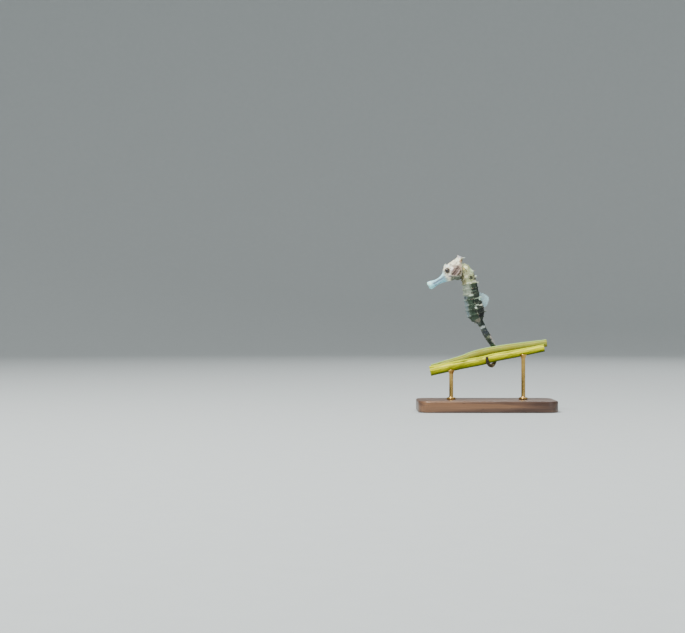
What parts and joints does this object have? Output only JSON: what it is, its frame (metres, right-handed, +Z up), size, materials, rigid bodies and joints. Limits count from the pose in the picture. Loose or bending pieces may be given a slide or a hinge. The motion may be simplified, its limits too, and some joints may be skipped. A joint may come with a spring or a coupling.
{
  "type": "seahorse",
  "caption": "Young seahorse standing upright with a long snout and crown, its tail hooked round two seagrass leaves on a small display stand.",
  "frame": {"origin": "middle of the stand base's underside", "axes": "+Z up along the standing animal, -Y the way the animal faces, +X to the animal's left"},
  "size_m": [0.014, 0.0276, 0.0311],
  "materials": {
    "pale_skin": "moist skin over bone, cream",
    "snout_skin": "moist skin over bone, bluish white",
    "dark_skin": "moist skin over bony rings, dark olive with pale bands",
    "tail_skin": "moist skin over bony rings, grey-brown with pale bands",
    "eye": "wet, glossy",
    "fin": "thin clear membrane on fine rays",
    "lower_leaf": "smooth living leaf, bright yellow",
    "upper_leaf": "smooth living leaf, olive",
    "wood": "satin dark hardwood",
    "brass": "satin turned brass"
  },
  "bodies": {
    "root": {"head": "pale_skin", "snout": "snout_skin", "coronet": "pale_skin", "eye_left": "eye", "eye_right": "eye", "neck": "pale_skin", "trunk_upper": "dark_skin", "trunk_lower": "dark_skin", "tail_base": "tail_skin", "tail_middle": "tail_skin", "tail_grip_back": "tail_skin", "tail_grip_under": "tail_skin", "tail_tip": "tail_skin", "dorsal_fin": "fin", "anal_fin": "fin", "pectoral_fin_left": "fin", "pectoral_fin_right": "fin", "perch_leaf_lower": "lower_leaf", "perch_leaf_upper": "upper_leaf", "stand_base": "wood", "stand_rod_front": "brass", "stand_rod_back": "brass"}
  },
  "joints": []
}
